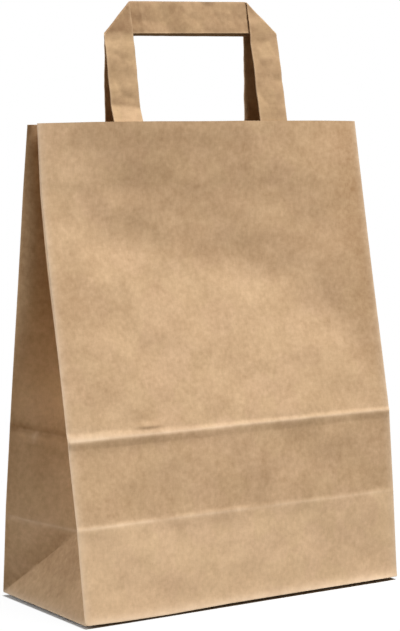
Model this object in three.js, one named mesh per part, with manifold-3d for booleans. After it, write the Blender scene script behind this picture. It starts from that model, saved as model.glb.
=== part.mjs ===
// Kraft paper carrier bag: a folded block-bottom body with two flat paper handles.
// Millimetres, +Z up. The origin is the middle of the base, on the surface that the bag stands on.
// +X runs along the front panel, to the right as seen from the front, and +Y runs from front to back.

import * as THREE from "three";
import { mergeVertices } from "three/addons/utils/BufferGeometryUtils.js";
import Module from "manifold-3d";

const wasm = await Module();
wasm.setup();

// Body: lengths are measured on the flat sheet, and leans are degrees from upright
const bagWidth = 220;          // front and back panels, fold to fold
const bagDepth = 100;          // gussets, fold to fold
const bagHeight = 280;         // panels, bottom fold to cut edge
const paperThickness = 0.15;
const mouthGap = 15;           // between the front and back cut edges
const lowerCrease = 52;        // height of the lower crease on the panels
const upperCrease = 101;       // height of the upper crease on the panels
const lowerRidge = 0.4;        // how far the lower crease stands proud
const lowerRidgeReach = 3;     // from the crest of that ridge to the flat panel
const upperRidge = 1;
const upperRidgeReach = 4.5;
const flapLap = 26;            // overlap of the two bottom flaps
const seamLap = 18;            // overlap of the sheet's own two edges, down the back panel
const seamInset = 1;           // from the corner fold to the full height of that overlap

// How the bag slouches: leans of the corner folds up to the lower crease, then up to the upper crease
const frontLeftLowerLean = 8.5;
const frontLeftMiddleLean = 11.5;
const frontRightLowerLean = 4;
const frontRightMiddleLean = 5;
const backLowerLean = 6;
const backMiddleLean = 9;
const frontMouthLean = 5;      // of the flat strip that the handle's patch stiffens
const backMouthLean = 9;
const stripMargin = 4;         // how far that strip reaches below the patch

// The panels are pressed in above the upper crease, deepest along a press line that slants across the front
const frontPress = 6.5;        // depth in the middle of the panel
const frontPressDrop = 15;     // from the flat strip down to the line, at the left fold
const frontPressRise = 20;     // from the upper crease up to the line, at the right fold
const frontPressCurve = 2.6;   // how late the line falls on its way to the right
const backPress = 2.6;
const backPressRise = 90;
const pressStrips = 6;         // flat strips that make up the pressed panel's curve

// Handles: flat tape, folded at its two top corners
const handleSpan = 119;        // outside of one leg to outside of the other
const handleHeight = 72;       // mouth edge to the top of the front handle's bar, along the handle
const handleRoot = 38;         // length of the front handle's legs glued inside the mouth
const handleBend = 1.5;        // from the mouth edge to where the handle leaves the panel's plane
const tapeWidth = 19;
const tapeThickness = 0.8;
const tapeBite = 0.05;         // how far the folded layers press into each other
const frontHandleLean = 11.5;  // degrees from upright
const frontHandleShift = -2.2; // the front handle is glued a little to the left of centre
const rearHandleShift = -3.4;  // and so is the rear one
const rearHandleDrop = 3;      // the rear handle is glued a little deeper into the mouth
const handleClearance = 0.3;   // between the two bars, where the handles lean together

// Patches: paper strips glued over the legs of the handles
const patchHeight = 40;
const patchDrop = 4;           // below the mouth edge
const patchMargin = 16;        // past the outside of each leg
const patchRamp = 3;           // width of the slope beside each leg
const glueFilm = 0.2;          // between any two glued faces

const paperColour = 0xc9a67c;
const tapeColour = 0xc6a177;
const paperRoughness = 0.85;

const halfWidth = bagWidth / 2;
const halfDepth = bagDepth / 2;
const halfGap = mouthGap / 2;
const flapPlies = 2;           // the two flaps lie under the base
const baseLevel = flapPlies * paperThickness;

// Stretches of a panel's paper, from the bottom fold to the cut edge
const middleRun = upperCrease - lowerCrease;
const mouthStrip = patchDrop + patchHeight + stripMargin;
const stripFoot = bagHeight - mouthStrip;
const upperRun = stripFoot - upperCrease;

// A corner fold gives the point at a height on the sheet: its distance from the bag's middle plane, and its
// level. Between the upper crease and the flat strip it leans by what brings the cut edge to the mouth gap.
function cornerFold(lowerLean, middleLean, mouthLean) {
  const [lower, middle, strip] = [lowerLean, middleLean, mouthLean].map(THREE.MathUtils.degToRad);
  const closed = halfGap + mouthStrip * Math.sin(strip);
  const leftToClose = halfDepth - lowerCrease * Math.sin(lower) - middleRun * Math.sin(middle) - closed;
  const upper = Math.asin(leftToClose / upperRun);
  const stretches = [[lowerCrease, lower], [middleRun, middle], [upperRun, upper], [mouthStrip, strip]];
  return (along, proud) => {
    const facing = along > lowerCrease ? (middle + upper) / 2 : (lower + middle) / 2;
    let out = halfDepth + proud * Math.cos(facing);
    let up = baseLevel + proud * Math.sin(facing);
    let left = along;
    for (const [length, lean] of stretches) {
      const step = Math.min(left, length);
      out -= step * Math.sin(lean);
      up += step * Math.cos(lean);
      left -= step;
    }
    return { out, up };
  };
}

// Rows of a panel, bottom fold to mouth: height on the sheet, and how far the row stands proud
function panelRows(pressHeight) {
  return [
    [0, 0],
    [lowerCrease - lowerRidgeReach, 0],
    [lowerCrease, lowerRidge],
    [lowerCrease + lowerRidgeReach, 0],
    [upperCrease - upperRidgeReach, 0],
    [upperCrease, upperRidge],
    [upperCrease + upperRidgeReach, 0],
    [pressHeight, 0],
    [stripFoot, 0],
    [bagHeight, 0],
  ];
}

const bottomRow = 0;
const lowerRow = 2;
const upperRow = 5;
const pressRow = 7;
const mouthRow = 9;

const backFold = cornerFold(backLowerLean, backMiddleLean, backMouthLean);
const frontPanel = {
  side: -1,
  left: cornerFold(frontLeftLowerLean, frontLeftMiddleLean, frontMouthLean),
  right: cornerFold(frontRightLowerLean, frontRightMiddleLean, frontMouthLean),
  press: frontPress,
  pressHeight: (share) => THREE.MathUtils.lerp(
    stripFoot - frontPressDrop, upperCrease + frontPressRise, share ** frontPressCurve),
};
const backPanel = {
  side: 1,
  left: backFold,
  right: backFold,
  press: backPress,
  pressHeight: () => upperCrease + backPressRise,
};

// Points up a panel at one place across it, between its two corner folds
function panelColumn(panel, x) {
  const share = (x + halfWidth) / bagWidth;
  const press = panel.press * (1 - (x / halfWidth) ** 2);
  return panelRows(panel.pressHeight(share)).map(([along, proud], row) => {
    const left = panel.left(along, proud);
    const right = panel.right(along, proud);
    const out = THREE.MathUtils.lerp(left.out, right.out, share) - (row === pressRow ? press : 0);
    return new THREE.Vector3(x, panel.side * out, THREE.MathUtils.lerp(left.up, right.up, share));
  });
}

// Where two circles in a gusset's middle plane meet, on the side towards the middle of the bag
function meetingPoint(first, firstRadius, second, secondRadius) {
  const span = second.clone().sub(first);
  const apart = span.length();
  const along = (apart ** 2 + firstRadius ** 2 - secondRadius ** 2) / (2 * apart);
  const aside = Math.sqrt(firstRadius ** 2 - along ** 2);
  const foot = first.clone().addScaledVector(span, along / apart);
  const step = new THREE.Vector2(span.y, -span.x).multiplyScalar(aside / apart);
  const oneSide = foot.clone().add(step);
  const otherSide = foot.clone().sub(step);
  return oneSide.x > otherSide.x ? oneSide : otherSide;
}

// Centre crease of the gusset between two corner folds, from the apex of the base fold to the mouth.
// The gusset keeps its paper width, so the crease lies at set distances from the corner folds. It is worked out
// in the plane midway between them, as (inset from the side of the bag, level).
function gussetCentre(front, back, side) {
  const midway = (row) => front[row].clone().add(back[row]).multiplyScalar(0.5);
  const corner = (row) => new THREE.Vector2(0, midway(row).z);
  const reach = (row, cornerHeight, centreHeight) => {
    const paper = Math.hypot(halfDepth, cornerHeight - centreHeight);
    return Math.sqrt(paper ** 2 - ((back[row].y - front[row].y) / 2) ** 2);
  };
  const apexHeight = halfDepth;
  const apex = meetingPoint(
    corner(bottomRow), reach(bottomRow, 0, apexHeight),
    corner(lowerRow), reach(lowerRow, lowerCrease, apexHeight));
  const waist = meetingPoint(
    corner(upperRow), reach(upperRow, upperCrease, upperCrease),
    apex, upperCrease - apexHeight);
  const top = meetingPoint(
    corner(mouthRow), reach(mouthRow, bagHeight, bagHeight),
    waist, bagHeight - upperCrease);
  const rows = [lowerRow, upperRow, mouthRow];
  return [apex, waist, top].map((point, index) => (
    new THREE.Vector3(side * (halfWidth - point.x), midway(rows[index]).y, point.y)));
}

// A folded sheet as points and triangles, later given the thickness of the paper
class FoldedSheet {
  points = [];
  triangles = [];
  doubled = new Set();

  addPoint(point) {
    this.points.push(point);
    return this.points.length - 1;
  }

  addTriangle(a, b, c) {
    this.triangles.push([a, b, c]);
  }

  // A strip between two folds with as many points each
  addStrip(left, right) {
    for (let row = 0; row < left.length - 1; row += 1) {
      this.addTriangle(left[row], right[row], right[row + 1]);
      this.addTriangle(left[row], right[row + 1], left[row + 1]);
    }
  }

  // Half a gusset, between a corner fold and the centre crease, which starts at the apex of the base fold
  addGussetHalf(corner, centre, mirrored) {
    const turn = (a, b, c) => (mirrored ? this.addTriangle(a, c, b) : this.addTriangle(a, b, c));
    const stops = [bottomRow, lowerRow, upperRow, mouthRow];
    for (let stop = 0; stop < stops.length - 1; stop += 1) {
      const pivot = centre[Math.max(stop - 1, 0)];
      for (let row = stops[stop]; row < stops[stop + 1]; row += 1) {
        turn(corner[row], pivot, corner[row + 1]);
      }
      if (stop > 0) {
        turn(pivot, centre[stop], corner[stops[stop + 1]]);
      }
    }
  }

  // Inward step at each point that puts the inner face one paper thickness behind every face round it
  inwardSteps() {
    const flatness = 0.002;    // holds the step short where faces are nearly parallel
    const weights = this.points.map(() => new THREE.Matrix3().set(0, 0, 0, 0, 0, 0, 0, 0, 0));
    const pulls = this.points.map(() => new THREE.Vector3());
    const counts = this.points.map(() => 0);
    for (const corners of this.triangles) {
      const [a, b, c] = corners.map((index) => this.points[index]);
      const normal = b.clone().sub(a).cross(c.clone().sub(a)).normalize();
      const { x, y, z } = normal;
      const outer = [x * x, x * y, x * z, y * x, y * y, y * z, z * x, z * y, z * z];
      for (const index of corners) {
        outer.forEach((value, place) => {
          weights[index].elements[place] += value;
        });
        pulls[index].addScaledVector(normal, -paperThickness);
        counts[index] += 1;
      }
    }
    return this.points.map((point, index) => {
      const matrix = weights[index];
      [0, 4, 8].forEach((place) => {
        matrix.elements[place] += flatness * counts[index];
      });
      return pulls[index].clone().applyMatrix3(matrix.invert());
    });
  }

  // The closed solid: outer faces, inner faces, and a rim along each edge that only one triangle uses
  toGeometry() {
    const steps = this.inwardSteps();
    const outside = this.points.map((point, index) => (
      this.doubled.has(index) ? point.clone().sub(steps[index]) : point));
    const inside = this.points.map((point, index) => point.clone().add(steps[index]));
    const count = this.points.length;
    const edges = new Set(this.triangles.flatMap(([a, b, c]) => [`${a} ${b}`, `${b} ${c}`, `${c} ${a}`]));
    const faces = [];
    for (const [a, b, c] of this.triangles) {
      faces.push(a, b, c, c + count, b + count, a + count);
    }
    for (const edge of edges) {
      const [a, b] = edge.split(" ").map(Number);
      if (!edges.has(`${b} ${a}`)) {
        faces.push(b, a, a + count, b, a + count, b + count);
      }
    }
    const geometry = new THREE.BufferGeometry().setFromPoints([...outside, ...inside]);
    geometry.setIndex(faces);
    return geometry;
  }
}

function solidFrom(geometry) {
  const bare = geometry.clone();
  bare.deleteAttribute("normal");
  bare.deleteAttribute("uv");
  const merged = mergeVertices(bare, 1e-4);
  return new wasm.Manifold(new wasm.Mesh({
    numProp: 3,
    vertProperties: new Float32Array(merged.attributes.position.array),
    triVerts: new Uint32Array(merged.index.array),
  }));
}

function geometryFrom(solid) {
  const mesh = solid.getMesh();
  const geometry = new THREE.BufferGeometry();
  geometry.setAttribute("position", new THREE.BufferAttribute(mesh.vertProperties, 3));
  geometry.setIndex(new THREE.BufferAttribute(mesh.triVerts, 1));
  geometry.computeVertexNormals();
  return geometry;
}

function extrude(outline, depth) {
  const shape = outline instanceof THREE.Shape ? outline : new THREE.Shape(outline);
  return new THREE.ExtrudeGeometry(shape, { depth, bevelEnabled: false });
}

// Outline of a strip seen edge-on: it follows a path and has its thickness on the left of it
function stripOutline(path, thickness) {
  const raised = path.map((point, index) => {
    const before = index > 0 ? point.clone().sub(path[index - 1]).normalize() : null;
    const after = index < path.length - 1 ? path[index + 1].clone().sub(point).normalize() : null;
    const first = before ?? after;
    const second = after ?? before;
    const mitre = new THREE.Vector2(-first.y - second.y, first.x + second.x);
    mitre.multiplyScalar(thickness / (1 + first.dot(second)));
    return point.clone().add(mitre);
  });
  return new THREE.Shape([...path, ...raised.reverse()]);
}

// One bottom flap, folded in from a long edge of the base, with its ends at 45 degrees
function bottomFlap(side, lowLevel) {
  const reach = halfDepth + flapLap / 2;
  const outline = [
    new THREE.Vector2(-halfWidth, side * halfDepth),
    new THREE.Vector2(halfWidth, side * halfDepth),
    new THREE.Vector2(halfWidth - reach, side * (halfDepth - reach)),
    new THREE.Vector2(reach - halfWidth, side * (halfDepth - reach)),
  ];
  const intoBase = paperThickness / 2;
  return extrude(outline, baseLevel - lowLevel + intoBase).translate(0, 0, lowLevel);
}

function bagBodyGeometry() {
  const sheet = new FoldedSheet();
  const addAll = (points) => points.map((point) => sheet.addPoint(point));
  const column = (panel) => (x) => addAll(panelColumn(panel, x));
  // Places across a panel, evenly spaced from one to just before the other
  const spread = (from, to) => Array.from({ length: pressStrips }, (_, index) => (
    THREE.MathUtils.lerp(from, to, index / pressStrips)));

  const seamCorner = halfWidth - seamInset;
  const seamEdge = halfWidth - seamLap;
  const seamFoot = seamEdge - paperThickness;
  const frontFolds = [...spread(-halfWidth, halfWidth), halfWidth].map(column(frontPanel));
  const backPlaces = [halfWidth, seamCorner, seamEdge, ...spread(seamFoot, -halfWidth), -halfWidth];
  const backFolds = backPlaces.map(column(backPanel));
  backFolds.slice(1, 3).flat().forEach((index) => sheet.doubled.add(index));
  for (const folds of [frontFolds, backFolds]) {
    for (let index = 0; index < folds.length - 1; index += 1) {
      sheet.addStrip(folds[index], folds[index + 1]);
    }
  }

  const frontLeft = frontFolds[0];
  const frontRight = frontFolds.at(-1);
  const backRight = backFolds[0];
  const backLeft = backFolds.at(-1);
  const points = (fold) => fold.map((index) => sheet.points[index]);
  const rightCentre = addAll(gussetCentre(points(frontRight), points(backRight), 1));
  const leftCentre = addAll(gussetCentre(points(frontLeft), points(backLeft), -1));
  sheet.addGussetHalf(frontRight, rightCentre, false);
  sheet.addGussetHalf(backRight, rightCentre, true);
  sheet.addGussetHalf(backLeft, leftCentre, false);
  sheet.addGussetHalf(frontLeft, leftCentre, true);

  // The gussets' triangles over the base fold, and the base itself: a fan from each of two opposite corners
  sheet.addTriangle(frontRight[bottomRow], backRight[bottomRow], rightCentre[0]);
  sheet.addTriangle(backLeft[bottomRow], frontLeft[bottomRow], leftCentre[0]);
  const addFan = (corner, edge) => {
    for (let index = 0; index < edge.length - 1; index += 1) {
      sheet.addTriangle(corner[bottomRow], edge[index][bottomRow], edge[index + 1][bottomRow]);
    }
  };
  addFan(frontRight, [...backFolds].reverse());
  addFan(backLeft, [...frontFolds].reverse());

  const frontFlap = bottomFlap(-1, paperThickness);
  const backFlap = bottomFlap(1, 0);
  return geometryFrom(solidFrom(sheet.toGeometry()).add(solidFrom(frontFlap)).add(solidFrom(backFlap)));
}

// Handles and patches are drawn in the plane of the flat strip they are glued to:
// origin on the mouth edge, X along it, Z up the panel, and Y from the panel's outer face into the bag
const frontStrip = THREE.MathUtils.degToRad(frontMouthLean);
const backStrip = THREE.MathUtils.degToRad(backMouthLean);
const legFace = paperThickness + glueFilm;
const sideways = new THREE.Matrix4().makeBasis(
  new THREE.Vector3(0, 1, 0), new THREE.Vector3(0, 0, 1), new THREE.Vector3(1, 0, 0));

function handleGeometry(inwardTilt, drop) {
  const loopLength = handleHeight - drop - handleBend;
  const upLoop = new THREE.Vector2(Math.sin(inwardTilt), Math.cos(inwardTilt));
  const intoLoop = new THREE.Vector2(upLoop.y, -upLoop.x);
  const bend = new THREE.Vector2(legFace, handleBend);
  const top = bend.clone().addScaledVector(upLoop, loopLength);
  const barFoot = bend.clone().addScaledVector(upLoop, loopLength - tapeWidth);

  const leg = stripOutline([top, bend, new THREE.Vector2(legFace, -handleRoot - drop)], tapeThickness);
  const barLayer = tapeThickness - tapeBite;
  const bar = stripOutline([top, barFoot].map((point) => point.clone().addScaledVector(intoLoop, barLayer)),
    tapeThickness);
  const leftLeg = extrude(leg, tapeWidth).applyMatrix4(sideways).translate(-handleSpan / 2, 0, 0);
  const rightLeg = extrude(leg, tapeWidth).applyMatrix4(sideways).translate(handleSpan / 2 - tapeWidth, 0, 0);
  const crossBar = extrude(bar, handleSpan).applyMatrix4(sideways).translate(-handleSpan / 2, 0, 0);
  let solid = solidFrom(leftLeg).add(solidFrom(rightLeg)).add(solidFrom(crossBar));

  // The folds run at 45 degrees across the top corners, so nothing lies outside them
  const spare = tapeWidth;
  const loopPlane = new THREE.Matrix4().makeBasis(
    new THREE.Vector3(1, 0, 0), new THREE.Vector3(0, upLoop.x, upLoop.y), new THREE.Vector3(0, -upLoop.y, upLoop.x));
  loopPlane.setPosition(0, bend.x, bend.y);
  for (const side of [-1, 1]) {
    const corner = extrude([
      new THREE.Vector2(side * (handleSpan / 2 + spare), loopLength - tapeWidth - spare),
      new THREE.Vector2(side * (handleSpan / 2 - tapeWidth - spare), loopLength + spare),
      new THREE.Vector2(side * (handleSpan / 2 + spare), loopLength + spare),
    ], 2 * spare).translate(0, 0, -spare).applyMatrix4(loopPlane);
    solid = solid.subtract(solidFrom(corner));
  }
  return geometryFrom(solid);
}

// A patch lies on the panel, and steps over each leg
function patchGeometry() {
  const overLeg = legFace + tapeThickness + glueFilm;
  const outer = handleSpan / 2;
  const inner = outer - tapeWidth;
  const halfPath = [
    new THREE.Vector2(outer + patchMargin, legFace),
    new THREE.Vector2(outer + patchRamp, legFace),
    new THREE.Vector2(outer, overLeg),
    new THREE.Vector2(inner, overLeg),
    new THREE.Vector2(inner - patchRamp, legFace),
  ];
  const leftPath = halfPath.map((point) => new THREE.Vector2(-point.x, point.y));
  const outline = stripOutline([...leftPath, ...halfPath.reverse()], paperThickness);
  return extrude(outline, patchHeight).translate(0, 0, -patchDrop - patchHeight);
}

// The rear handle leans back just far enough to clear the front handle's bar, which rests against it
function rearHandleLean() {
  const front = THREE.MathUtils.degToRad(frontHandleLean);
  const layers = 2 * tapeThickness;
  const foot = (strip) => legFace * Math.cos(strip) + handleBend * Math.sin(strip);
  const frontLoop = handleHeight - handleBend;
  const rearLoop = frontLoop - rearHandleDrop;
  const frontBar = foot(frontStrip) - halfGap + frontLoop * Math.sin(front) + layers * Math.cos(front);
  const wanted = frontBar + handleClearance + foot(backStrip) - halfGap;
  return Math.asin(wanted / Math.hypot(rearLoop, layers)) + Math.atan2(layers, rearLoop);
}

function paperMesh(name, geometry, color) {
  const material = new THREE.MeshStandardMaterial({ color, roughness: paperRoughness, metalness: 0 });
  const mesh = new THREE.Mesh(geometry, material);
  mesh.name = name;
  return mesh;
}

// The handle and patch of one panel, at the mouth edge of that panel
function handleSet(place, inwardTilt, shift, drop) {
  const set = new THREE.Group();
  const handle = paperMesh(`${place}_handle`, handleGeometry(inwardTilt, drop), tapeColour);
  const patch = paperMesh(`${place}_patch`, patchGeometry(), paperColour);
  handle.position.x = shift;
  patch.position.x = shift;
  set.add(handle, patch);
  return set;
}

const frontTilt = THREE.MathUtils.degToRad(frontHandleLean) - frontStrip;
const frontSet = handleSet("front", frontTilt, frontHandleShift, 0);
frontSet.position.copy(panelColumn(frontPanel, 0)[mouthRow]);
frontSet.rotation.set(-frontStrip, 0, 0);

const rearTilt = -rearHandleLean() - backStrip;
const rearSet = handleSet("rear", rearTilt, -rearHandleShift, rearHandleDrop);
rearSet.position.copy(panelColumn(backPanel, 0)[mouthRow]);
rearSet.rotation.set(backStrip, 0, Math.PI);

const bag = new THREE.Group();
bag.add(paperMesh("bag_body", bagBodyGeometry(), paperColour), frontSet, rearSet);

export default bag;
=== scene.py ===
import math

import bpy
import numpy as np
from mathutils import Matrix, Vector


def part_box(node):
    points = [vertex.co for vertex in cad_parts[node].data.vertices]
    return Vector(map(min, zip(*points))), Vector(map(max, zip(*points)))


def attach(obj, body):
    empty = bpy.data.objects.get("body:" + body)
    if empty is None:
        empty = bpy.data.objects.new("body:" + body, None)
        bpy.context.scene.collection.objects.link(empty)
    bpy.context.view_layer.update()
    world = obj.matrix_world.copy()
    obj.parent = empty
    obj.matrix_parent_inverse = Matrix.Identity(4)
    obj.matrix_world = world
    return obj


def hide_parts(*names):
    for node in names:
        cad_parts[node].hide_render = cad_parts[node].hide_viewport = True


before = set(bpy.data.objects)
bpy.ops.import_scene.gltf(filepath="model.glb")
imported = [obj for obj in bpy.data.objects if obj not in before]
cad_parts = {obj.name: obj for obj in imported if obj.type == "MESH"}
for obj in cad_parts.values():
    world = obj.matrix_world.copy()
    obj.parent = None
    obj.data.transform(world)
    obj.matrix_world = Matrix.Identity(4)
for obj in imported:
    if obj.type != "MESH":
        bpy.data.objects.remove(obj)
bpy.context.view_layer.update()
mm = 0.001
print("frame loaded:", sorted(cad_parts))


# camera, at the photograph's viewing angle
cameraSettings = {
    "place": (-670.0, -1051.6, 286.8),   # mm
    "yaw": 32.49,        # degrees, turned to the right of straight ahead
    "pitch": 5.58,       # looking down
    "roll": -0.52,
    "lens": 119.96,      # mm
    "sensor": 36.0,
    "farClip": 50.0,     # m
}


def addCamera(shot):
    lens = bpy.data.cameras.new("camera")
    lens.lens = shot["lens"]
    lens.sensor_width = shot["sensor"]
    lens.sensor_fit = "AUTO"
    lens.clip_end = shot["farClip"]
    camera = bpy.data.objects.new("camera", lens)
    bpy.context.scene.collection.objects.link(camera)
    turn = Matrix.Rotation(math.radians(-shot["yaw"]), 4, "Z")
    tilt = Matrix.Rotation(math.radians(90 - shot["pitch"]), 4, "X")
    roll = Matrix.Rotation(math.radians(shot["roll"]), 4, "Z")
    camera.matrix_world = Matrix.Translation(Vector(shot["place"]) * mm) @ turn @ tilt @ roll
    bpy.context.scene.camera = camera


addCamera(cameraSettings)
print("camera set")


# shader maths: a socket that takes part in Python sums
class Shade:
    def __init__(self, tree, socket=None):
        self.tree = tree
        self.socket = socket

    def node(self, kind, settings=None, sockets=None, out=0):
        made = self.tree.nodes.new(kind)
        for name, value in (settings or {}).items():
            setattr(made, name, value)
        for name, value in (sockets or {}).items():
            if isinstance(value, Shade):
                self.tree.links.new(value.socket, made.inputs[name])
            else:
                made.inputs[name].default_value = value
        return Shade(self.tree, made.outputs[out])

    def maths(self, operation, first, second):
        return self.node("ShaderNodeMath", {"operation": operation}, {0: first, 1: second})

    def __add__(self, other):
        return self.maths("ADD", self, other)

    def __radd__(self, other):
        return self.maths("ADD", other, self)

    def __sub__(self, other):
        return self.maths("SUBTRACT", self, other)

    def __rsub__(self, other):
        return self.maths("SUBTRACT", other, self)

    def __mul__(self, other):
        return self.maths("MULTIPLY", self, other)

    def __rmul__(self, other):
        return self.maths("MULTIPLY", other, self)


def linear(red, green, blue):
    def channel(value):
        value = value / 255
        return value / 12.92 if value <= 0.04045 else ((value + 0.055) / 1.055) ** 2.4
    return (channel(red), channel(green), channel(blue), 1.0)


def ranged(shade, value, low, high):
    return shade.node("ShaderNodeMapRange", {"interpolation_type": "SMOOTHSTEP"},
                      {"Value": value, "From Min": low, "From Max": high})


def mixColour(shade, factor, first, second):
    return shade.node("ShaderNodeMix", {"data_type": "RGBA"},
                      {0: factor, 6: first, 7: second}, out=2)


# kraft papers: cloudy colour, fibres along the sheet, flecks, and pale worn folds, whose pale colour is
# also a painted highlight on lit folds, crease crests and edges
paperFinishes = {
    "kraft_paper": {
        "light": linear(235, 203, 163),
        "dark": linear(167, 132, 95),
        "fleck": linear(144, 110, 78),
        "wornAndHighlit": linear(246, 224, 198),
        "rosy": linear(236, 202, 165),
        "areaSize": 16,     # mm
        "cloudSize": 24,
        "mottleSize": 7,
        "seed": 0.0,
    },
    "handle_tape": {
        "light": linear(207, 175, 134),
        "dark": linear(146, 114, 82),
        "fleck": linear(126, 94, 64),
        "wornAndHighlit": linear(222, 192, 157),
        "rosy": linear(208, 174, 136),
        "areaSize": 12,
        "cloudSize": 16,
        "mottleSize": 5,
        "seed": 3.7,
    },
    "patch_paper": {
        "light": linear(230, 196, 158),
        "dark": linear(160, 127, 94),
        "fleck": linear(140, 106, 74),
        "wornAndHighlit": linear(228, 200, 166),
        "rosy": linear(230, 195, 160),
        "areaSize": 14,
        "cloudSize": 20,
        "mottleSize": 6,
        "seed": 8.2,
    },
}
# what all the papers share: shares of the way from dark to light, and sizes in mm
paperMix = {
    "shares": (0.22, 0.44, 0.38, 0.19, 0.12, 0.08),   # clouds, mottle, grain, two ways of fibres, areas
    "grainSize": 2.7,
    "areaEdge": (90.0, 0.014, 0.35),     # ragged: scale and reach of its noise, then softness
    "fibreSize": (0.5, 4.5, 4),          # across, along, and turn in degrees
    "crossFibreSize": (3.2, 0.45, -11),
    "fleckSize": (0.35, 1.3, 25),
    "fleckRange": (0.70, 0.80),
    "flecks": 0.45,
    # strength of the pale worn colour, which is partly a painted highlight along lit folds and crests
    "wearAndHighlight": 0.75,
    "wearAndHighlightRange": (0.35, 0.9),            # even part, and the part that follows the mottle
    "roughness": (0.80, 0.16, 0.10),     # base, and the parts of mottle and fibres
    "specular": 0.25,
    "relief": (0.5, 0.35, 0.6),          # fibres, cross fibres, and tooth
    "toothSize": 1.6,
    "bump": (0.35, 0.06),                # strength, and height
    # detail and roughness of each noise
    "cloudNoise": (3.0, 0.55),
    "mottleNoise": (3.0, 0.6),
    "grainNoise": (1.0, 0.5),
    "toothNoise": (3.0, 0.6),
    "fibreNoise": (2.0, 0.55),
}


def paperMaterial(name, finish):
    mix = paperMix
    material = bpy.data.materials.new(name)
    material.use_nodes = True
    tree = material.node_tree
    surface = tree.nodes["Principled BSDF"]
    shade = Shade(tree)
    place = shade.node("ShaderNodeTexCoord", out="Object")
    sheet = shade.node("ShaderNodeUVMap", {"uv_map": "sheet"})
    folds = shade.node("ShaderNodeAttribute", {"attribute_name": "foldWearAndHighlight"}, out="Fac")
    tone = shade.node("ShaderNodeAttribute", {"attribute_name": "sheetToneAndShade"}, out="Fac")

    def cloud(size, detail, roughness):
        shifted = shade.node("ShaderNodeMapping", {}, {"Vector": place, "Location": (finish["seed"],) * 3})
        return shade.node("ShaderNodeTexNoise", {}, {
            "Vector": shifted,
            "Scale": 1 / (size * mm),
            "Detail": detail,
            "Roughness": roughness,
        })

    def fibre(across, along, turn):
        laid = shade.node("ShaderNodeMapping", {}, {
            "Vector": sheet,
            "Rotation": (0, 0, math.radians(turn)),
            "Scale": (1 / (across * mm), 1 / (along * mm), 1),
        })
        detail, roughness = mix["fibreNoise"]
        return shade.node("ShaderNodeTexNoise", {"noise_dimensions": "2D"},
                          {"Vector": laid, "Scale": 1.0, "Detail": detail, "Roughness": roughness})

    clouds = cloud(finish["cloudSize"], *mix["cloudNoise"])
    mottle = cloud(finish["mottleSize"], *mix["mottleNoise"])
    grain = cloud(mix["grainSize"], *mix["grainNoise"])
    # areas of slightly different paper, with ragged edges
    edgeScale, edgeReach, edgeSoftness = mix["areaEdge"]
    ragged = shade.node("ShaderNodeTexNoise", {}, {"Vector": place, "Scale": edgeScale}, out="Color")
    ragged = shade.node("ShaderNodeVectorMath", {"operation": "MULTIPLY_ADD"},
                        {0: ragged, 1: (edgeReach,) * 3, 2: place})
    areas = shade.node("ShaderNodeTexVoronoi", {"feature": "SMOOTH_F1"}, {
        "Vector": ragged,
        "Scale": 1 / (finish["areaSize"] * mm),
        "Smoothness": edgeSoftness,
        "Randomness": 1.0,
    }, out="Color")
    areaTone, areaHue = (shade.node("ShaderNodeSeparateColor", {}, {0: areas}, out) for out in (0, 1))
    fibres = fibre(*mix["fibreSize"])
    crossFibres = fibre(*mix["crossFibreSize"])
    # the sheet's tone attribute holds painted light and shade besides random tone
    blend = tone
    for share, noise in zip(mix["shares"], (clouds, mottle, grain, fibres, crossFibres, areaTone)):
        blend = blend + share * (noise - 0.5)
    light = mixColour(shade, areaHue, finish["light"], finish["rosy"])
    colour = mixColour(shade, blend, finish["dark"], light)
    flecks = ranged(shade, fibre(*mix["fleckSize"]), *mix["fleckRange"])
    colour = mixColour(shade, mix["flecks"] * flecks, colour, finish["fleck"])
    # pale worn fibres on the folds, partly a painted highlight along lit folds, crests and edges
    evenPart, mottledPart = mix["wearAndHighlightRange"]
    wearAndHighlight = folds * (evenPart + mottledPart * mottle)
    colour = mixColour(shade, mix["wearAndHighlight"] * wearAndHighlight, colour, finish["wornAndHighlit"])
    tree.links.new(colour.socket, surface.inputs["Base Color"])
    rough, roughMottle, roughFibres = mix["roughness"]
    roughness = rough + roughMottle * (mottle - 0.5) + roughFibres * (fibres - 0.5)
    tree.links.new(roughness.socket, surface.inputs["Roughness"])
    surface.inputs["Specular IOR Level"].default_value = mix["specular"]
    along, across, tooth = mix["relief"]
    toothed = cloud(mix["toothSize"], *mix["toothNoise"])
    height = along * fibres + across * crossFibres + tooth * toothed
    strength, reliefHeight = mix["bump"]
    bump = shade.node("ShaderNodeBump", {},
                      {"Strength": strength, "Distance": reliefHeight * mm, "Height": height})
    tree.links.new(bump.socket, surface.inputs["Normal"])
    return material


papers = {name: paperMaterial(name, finish) for name, finish in paperFinishes.items()}
print("papers mixed:", len(papers))


# grids of paper: columns run across the sheet, rows up it, both in mm
def steps(length, pitch, ends):
    # stations along one stretch, with closer ones near its two folds
    inner = np.linspace(ends[-1], length - ends[-1], max(2, round((length - 2 * ends[-1]) / pitch) + 1))
    start = np.array((0.0, *ends[:-1]))
    return np.concatenate((start, inner, length - start[::-1]))


def joined(*stretches):
    # stretches laid end to end, each sharing its first station with the one before
    laid = [np.asarray(stretches[0], float)]
    for stretch in stretches[1:]:
        laid.append(laid[-1][-1] + np.asarray(stretch[1:], float))
    return np.concatenate(laid)


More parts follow.
